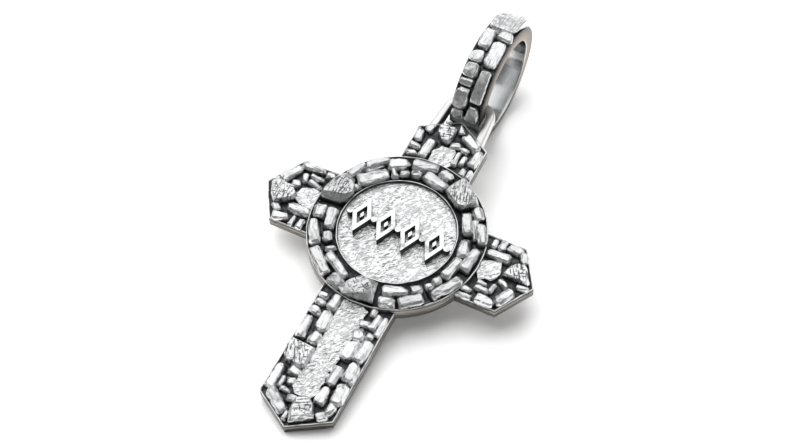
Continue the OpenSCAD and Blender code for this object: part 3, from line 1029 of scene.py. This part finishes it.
# %% Stones of the cross
def common_stones(tops, foot, spread, lean_out, painted_shade, rng):
    """The stones hewn from their tops, and for each its frame, top, marked reach, and its oxide
    and painted shade.
    """
    middle_r = (FIELD_R + DISC_R) / 2
    blocks = []
    known = []
    for centre, outline in tops:
        outwards = Vector((centre.x, centre.y, 0)).normalized()
        outer = (reach(centre) - middle_r) / (DISC_R - middle_r)
        tip = Vector((rng.uniform(-0.1, 0.1), rng.uniform(-0.1, 0.1), 1))
        up = (tip + outwards * outer * lean_out).normalized()
        matrix = own_frame(centre, long_side(outline), up)
        long, wide, taper = spans([matrix.inverted() @ p for p in outline])
        grown = spread + 0.1 * min(long, wide)
        block = hew(long, wide, taper, foot - centre.z, grown, rng)
        bmesh.ops.transform(block, matrix=matrix, verts=block.verts)
        blocks.append(block)
        # A random share of oxide, and painted shade that grows towards the medallion's rim, where
        # the stones tilt away from the light.
        oxide_and_shade = rng.uniform(0, 0.25) + painted_shade * (0.4 + 0.6 * clamp(outer))
        known.append((matrix.inverted(), centre.z, 0, oxide_and_shade))
    return blocks, known


def big_stones(rows, foot, painted_shade, rng):
    """The big stones, and for each its frame, top, marked reach, and its oxide and painted shade.
    """
    blocks = []
    known = []
    for top, strokes, outline, foot_outline in rows:
        blocks.append(hew_big(top, outline, foot, foot_outline, rng))
        middle = sum((Vector((x, y, top)) for x, y in outline), Vector()) / len(outline)
        mark_r = sum((Vector((x, y, top)) - middle).length for x, y in outline) / len(outline)
        matrix = Matrix.Translation(middle) @ Matrix.Rotation(math.radians(strokes), 4, "Z")
        # A little oxide on every big stone, and painted shade as well on the medallion's big
        # stones.
        known.append((matrix.inverted(), top, mark_r, 0.08 + painted_shade))
    return blocks, known


def make_stones(name, tops, bed, spread, lean_out, painted_shade, seed):
    rng = random.Random(seed)
    foot = bed - SUNK
    blocks, known = common_stones(tops, foot, spread, lean_out, painted_shade, rng)
    big_blocks, big_known = big_stones(BIG_STONES[name], foot, painted_shade, rng)
    known += big_known
    bm = gather(blocks + big_blocks)
    round_edges(bm, bm.edges[:], 0.03)
    refine(bm, 0.185)
    weather(bm, coarse=0.09, fine=0.04)
    finding = Finding(bm)
    number = bm.verts.layers.int["number"]
    for v in bm.verts:
        to_own, top, mark_r, oxide_and_shade = known[v[number]]
        own = to_own @ v.co
        scored = clamp(2.6 - 2 * reach(own) / mark_r) if mark_r else 0
        finding.note(v, v[number], own, (v.co.z - foot) / (top - foot), scored, oxide_and_shade)
    make_piece(bm, name, [HEWN], CROSS_SLOT)


make_stones("arm_stones", arm_tops, PLATE_BED, spread=0.12, lean_out=0.0, painted_shade=0.0, seed=11)
make_stones("medallion_stones", disc_tops, DISC_BED, spread=0.16, lean_out=0.25, painted_shade=0.24,
            seed=12)

# %% [markdown]
# ## The ground panels
#
# Between the stones each arm has a low panel with the same crumpled ground as the field. It
# is a low block grown from its face of the model, cut fine, and crumpled where it looks up.

# %% Ground panels
def make_panels():
    spread = 0.42
    sway = 0.25
    relief = 0.12
    bm = bmesh.new()
    for centre, outline in panel_tops:
        matrix = own_frame(centre, long_side(outline), Vector((0, 0, 1)))
        own = [matrix.inverted() @ p for p in outline]
        long = max(p.x for p in own) - min(p.x for p in own)
        wide = max(p.y for p in own) - min(p.y for p in own)
        grown = [Vector((p.x * (1 + 2 * spread / long), p.y * (1 + 2 * spread / wide), 0))
                 for p in own]
        face = bm.faces.new([bm.verts.new(matrix @ p) for p in grown])
        raise_faces(bm, [face], PLATE_BED - SUNK - centre.z)
    bmesh.ops.recalc_face_normals(bm, faces=bm.faces)
    round_edges(bm, bm.edges[:], 0.12)
    refine(bm, 0.1)
    height = bm.verts.layers.float.new("height")
    for v in bm.verts:
        h = crumple(v.co.x, v.co.y, 5.0)
        facing_up = max(v.normal.z, 0)
        sideways = noise.noise_vector(v.co * 1.4)
        v.co += Vector((sideways.x, sideways.y, 0)) * sway
        v.co.z += relief * (h - CRUMPLE_MIDDLE) * facing_up
        v[height] = h * facing_up
    make_piece(bm, "ground_panels", [GROUND], CROSS_SLOT)


make_panels()

# %% [markdown]
# ## The hanging ring
#
# Wire bent to a U and soldered into the upper arm. One closed section is extruded along each
# straight stretch and spun round each corner. It starts as a circle pressed a little square,
# as wire is after filing. A curve with a bevel object would do as well, but here the legs are
# then drawn out deeper on their underside, and the ring narrows by a tenth towards the bail,
# which single vertices take more easily.

# %% Hanging ring
def ring_shade(v, across):
    """Painted shade on the left leg's inner side, and on the right leg ever further out in the
    bail, which shades it.
    """
    left_inner = clamp(-v.co.x) * clamp(v.normal.x * 3 - 0.3)
    in_bail = clamp((v.co.y - ring_far + 3.4) / 2.4)
    right_side = clamp(2 * (1.3 * in_bail - 0.9 - across)) * 0.65
    return max(left_inner, right_side * clamp(v.co.x))


def make_ring():
    squareness = 0.65
    corner_r = 2.0
    root_y = 13.1
    deeper = 0.45
    deeper_over = 1.5
    narrowing = 0.1
    leg_x = ring_half - WIRE_R
    corner_x = leg_x - (corner_r - WIRE_R)
    corner_y = ring_far - corner_r
    bm = bmesh.new()
    section = bmesh.ops.create_circle(bm, segments=48, radius=WIRE_R)["verts"]
    for v in section:
        v.co.x = math.copysign(abs(v.co.x / WIRE_R) ** squareness, v.co.x) * WIRE_R
        v.co.y = math.copysign(abs(v.co.y / WIRE_R) ** squareness, v.co.y) * WIRE_R
    stand = Matrix.Translation((leg_x, root_y, wire_low + WIRE_R)) @ Matrix.Rotation(
        math.pi / 2, 4, "X")
    bmesh.ops.transform(bm, matrix=stand, verts=section)
    start = list({e for v in section for e in v.link_edges})

    def straight(end, way, pieces):
        for _ in range(pieces):
            made = bmesh.ops.extrude_edge_only(bm, edges=end)["geom"]
            bmesh.ops.translate(bm, vec=way / pieces, verts=verts_of(made))
            end = edges_of(made)
        return end

    def corner(end, x):
        verts = list({v for e in end for v in e.verts})
        made = bmesh.ops.spin(bm, geom=verts + end, cent=(x, corner_y, 0), axis=(0, 0, 1),
                              dvec=(0, 0, 0), angle=math.pi / 2, steps=14, use_merge=False,
                              use_duplicate=False)["geom_last"]
        return edges_of(made)

    end = straight(start, Vector((0, corner_y - root_y, 0)), 12)
    end = corner(end, corner_x)
    end = straight(end, Vector((-2 * corner_x, 0, 0)), 6)
    end = corner(end, -corner_x)
    end = straight(end, Vector((0, root_y - corner_y, 0)), 12)
    for loop in (start, end):
        bmesh.ops.edgeloop_fill(bm, edges=loop)
    bmesh.ops.recalc_face_normals(bm, faces=bm.faces)
    bm.normal_update()
    weather(bm, coarse=0.015, fine=0)
    oxide_and_shade = bm.verts.layers.float.new("oxide_and_shade")
    for v in bm.verts:
        below = min(v.co.z - wire_low - WIRE_R, 0)
        v.co.z += below * deeper * clamp((corner_y - v.co.y) / deeper_over)
        across = (abs(v.co.x) - leg_x) / WIRE_R
        v.co.x *= 1 - narrowing * clamp((v.co.y - root_y) / (corner_y - root_y))
        v[oxide_and_shade] = ring_shade(v, across)
    make_piece(bm, "hanging_ring", [WIRE], CROSS_SLOT)


make_ring()

# %% [markdown]
# ## The bail's band
#
# Two ovals are bridged into the band's side, and the side is extruded across. On the front
# the outer face is inset by the width of the lips and pushed in, which leaves the groove
# that holds the stones. The inside is a mirror, and a mirror shows every wave: it is given a
# slight crown and a few waves, or its reflections would be dead straight. The inner rim is
# worn round by the ring and the chain, and its brighter silver is partly that polish and
# partly a painted highlight. The side is duller and warmer, and the groove is dark grey.
# Next to the hanging ring and along the outer rims the band gets painted shade.

# %% Bail's band
def band_shade(v):
    """Painted shade next to the hanging ring, where the bail's lower end lies in shade, and along
    the outer rims next to the stones.
    """
    from_ring = abs(math.degrees(OUTER.angle(v.co)) % 360 - 182)
    shade_near_ring = clamp((34 - from_ring) / 16) * (1 - 0.6 * abs(v.normal.x))
    shade_on_rim = clamp((OUTER.out(v.co) - 0.94) / 0.06) * 0.85
    return clamp(shade_near_ring + shade_on_rim)


def wave_inside(v):
    """Gives the band's inner face its crown and its waves."""
    angle = INNER.angle(v.co)
    crown = 0.08 * (1 - abs(v.co.x / BAIL_HALF) ** 2.5)
    wave = 0.05 * noise.noise(Vector((5 * angle, 0, 3)))
    v.co += INNER.outward(angle) * (wave - crown)


def make_band():
    edge = 0.17
    groove = 0.35
    lip_deep = 0.1
    first = math.radians(-10)
    last = math.radians(190)
    inner_side = 0.9
    materials = [INSIDE, SIDE, GROOVE_GREY, WIRE]
    bm = bmesh.new()
    loops = set()
    for oval in (OUTER, INNER):
        circle = bmesh.ops.create_circle(bm, segments=144, radius=1)["verts"]
        bmesh.ops.transform(bm, matrix=oval.matrix(-BAIL_HALF), verts=circle)
        loops |= {e for v in circle for e in v.link_edges}
    side = bmesh.ops.bridge_loops(bm, edges=list(loops))["faces"]
    made = bmesh.ops.extrude_face_region(bm, geom=side)["geom"]
    bmesh.ops.translate(bm, vec=(2 * BAIL_HALF, 0, 0), verts=verts_of(made))
    bmesh.ops.recalc_face_normals(bm, faces=bm.faces)
    bm.normal_update()
    front = []
    for face in bm.faces:
        c = face.calc_center_median()
        if abs(face.normal.x) > 0.9:
            paint([face], materials, SIDE)
        elif OUTER.out(c) > 0.97 and (OUTER.angle(c) - first) % math.tau < last - first:
            front.append(face)
    bmesh.ops.inset_region(bm, faces=front, thickness=0.4 * edge, use_even_offset=True)
    walls = bmesh.ops.inset_region(bm, faces=front, thickness=0.6 * edge, depth=-lip_deep,
                                   use_even_offset=True)["faces"]
    walls += bmesh.ops.inset_region(bm, faces=front, thickness=0.02, depth=lip_deep - groove,
                                    use_even_offset=True)["faces"]
    paint(front + walls, materials, GROOVE_GREY)
    bm.normal_update()
    sharp = sharp_edges(bm, math.radians(35))
    worn_and_highlit_rims = [e for e in sharp if OUTER.out(e.verts[0].co) < inner_side]
    round_edges(bm, [e for e in sharp if e not in worn_and_highlit_rims], 0.05)
    round_edges(bm, [e for e in worn_and_highlit_rims if e.is_valid], 0.09, 4)
    # The inner rims get the ring's brighter silver: partly polish, partly a painted highlight.
    rounded = [f for f in bm.faces if 0.15 < abs(f.normal.x) < 0.97]
    paint([f for f in rounded if OUTER.out(f.calc_center_median()) < 0.93], materials, WIRE)
    for x in (-1.4, -1.0, -0.5, 0.0, 0.5, 1.0, 1.4):
        bmesh.ops.bisect_plane(bm, geom=bm.verts[:] + bm.edges[:] + bm.faces[:],
                               plane_co=(x, 0, 0), plane_no=(1, 0, 0))
    bm.normal_update()
    oxide_and_shade = bm.verts.layers.float.new("oxide_and_shade")
    for v in bm.verts:
        v[oxide_and_shade] = band_shade(v)
        if OUTER.out(v.co) < inner_side:
            wave_inside(v)
    make_piece(bm, "bail_band", materials, BAIL_SLOT, "bail")
    return groove


GROOVE = make_band()

# %% [markdown]
# ## The bail's stones
#
# They are hewn like the others, but the band is bent. So each is hewn flat, and then every
# vertex is walked along the oval by its own length and set out from it by its own height. The
# one broad stone is longer than its face of the model: it rises a little towards the far end
# and falls away towards the front. The stones next to the ring get painted shade, and the
# broad stone is darker along one line over its top.

# %% Bail's stones
BROAD = 2


def bail_tops():
    """Centre, angle and outline of each stone's top on the band."""
    tops = []
    for face in bail_copy.faces:
        c = face.calc_center_median()
        angle = OUTER.angle(c)
        facing_out = face.normal.dot(OUTER.outward(angle)) > 0.97
        if OUTER.out(c) > 1.02 and facing_out and face.calc_area() > 0.1:
            tops.append((c.copy(), angle, [v.co.copy() for v in face.verts]))
    return tops


def broad_slopes(x):
    """How much the broad stone rises towards the far end and falls towards the front."""
    return 0.12 * max(-x, 0) - 0.13 * max(x - 0.6, 0)


def make_bail_stones():
    longer = 1.1
    crest_degrees = 29
    rng = random.Random(13)
    foot = -GROOVE - 0.05
    blocks = []
    for centre, angle, outline in bail_tops():
        outward = OUTER.outward(angle)
        rise = (centre - OUTER.at(angle)).dot(outward)
        along = (OUTER.at(angle + 0.01) - OUTER.at(angle - 0.01)).normalized()
        matrix = own_frame(centre, along, outward)
        long, wide, taper = spans([matrix.inverted() @ p for p in outline])
        broad = wide > BROAD
        block = hew(long + longer * broad, wide, taper, foot - rise, 0.12, rng)
        round_edges(block, block.edges[:], 0.05)
        refine(block, 0.13)
        x_way = 1 if (matrix.to_3x3() @ Vector((0, 1, 0))).x > 0 else -1
        finding = Finding(block)
        scored = 0.5 if broad else 0.35
        # Painted shade on the stones next to the ring, growing towards it.
        shade_near_ring = 0.5 * clamp((math.degrees(angle) % 360 - 115) / 60)
        for v in block.verts:
            height = (v.co.z + rise - foot) / (rise - foot)
            if broad:
                v.co.z += height * broad_slopes(v.co.x)
            around = OUTER.walk(angle, v.co.x)
            crest = 0.8 * clamp(1.2 - abs(math.degrees(around) - crest_degrees) / 5)
            finding.note(v, len(blocks), v.co.copy(), height, scored, max(shade_near_ring, crest))
            v.co = OUTER.at(around, centre.x + x_way * v.co.y, v.co.z + rise)
        bmesh.ops.recalc_face_normals(block, faces=block.faces)
        blocks.append(block)
    print(len(blocks), "stones on the bail")
    bm = gather(blocks)
    bm.normal_update()
    weather(bm, coarse=0.05, fine=0.02)
    make_piece(bm, "bail_stones", [HEWN], BAIL_SLOT)


make_bail_stones()

# %% [markdown]
# ## Light and floor
#
# Silver shows what stands round it, so the light is a studio painted on the sky: dim grey all
# over, a broad bright screen above and behind, and a strip on the right that lights the
# inside of the bail. How squarely a direction faces the middle of a screen tells how bright
# it is. The table has a softbox of its own, which the silver doesn't mirror. It whitens the
# table and throws the soft shadow.

# %% Light and floor
def make_floor():
    bm = bmesh.new()
    bmesh.ops.create_grid(bm, x_segments=1, y_segments=1, size=1.0)
    mesh = bpy.data.meshes.new("floor")
    bm.to_mesh(mesh)
    bm.free()
    f = Finish("white_table")
    mesh.materials.append(f.shine((0.95, 0.95, 0.95, 1), 0.6, metallic=0.0))
    floor = bpy.data.objects.new("floor", mesh)
    bpy.context.collection.objects.link(floor)


def make_sky():
    """Grey all round, with a broad bright screen behind and a strip on the right."""
    scene = bpy.context.scene
    scene.view_settings.view_transform = "Standard"
    scene.world = bpy.data.worlds.new("studio")
    scene.world.use_nodes = True
    f = Formula(scene.world.node_tree)
    way = f.node("ShaderNodeTexCoord", out="Generated")

    def glow(middle, low, high):
        """1 towards the middle of a screen, and 0 away from it."""
        facing = f.node("ShaderNodeVectorMath", {"operation": "DOT_PRODUCT"},
                        {0: way, 1: middle.normalized()}, out="Value")
        return f.step(facing, low, high)

    screen = glow(Vector((-0.30, 0.42, 0.86)), 0.57, 0.95)
    strip = glow(Vector((0.85, 0.45, 0.27)), 0.84, 0.97)
    light = 0.2 + 1.08 * screen + 0.9 * strip
    sky = f.node("ShaderNodeBackground", None, {"Color": WHITE, "Strength": light})
    f.node("ShaderNodeOutputWorld", None, {"Surface": sky})


def make_lamp(name, place, size, energy):
    """A softbox flagged off from the silver: it only lights the table."""
    light = bpy.data.lights.new(name, "AREA")
    light.size = size
    light.energy = energy
    lamp = bpy.data.objects.new(name, light)
    aimed = place.to_track_quat("Z", "Y").to_matrix().to_4x4()
    lamp.matrix_world = Matrix.Translation(place) @ aimed
    lamp.visible_glossy = False
    bpy.context.collection.objects.link(lamp)
    print(name, "at", [round(v, 2) for v in place], "metres, with", energy, "watts")


make_floor()
make_sky()
make_lamp("softbox", Vector((-0.24, 0.16, 0.42)), size=0.7, energy=4.6)
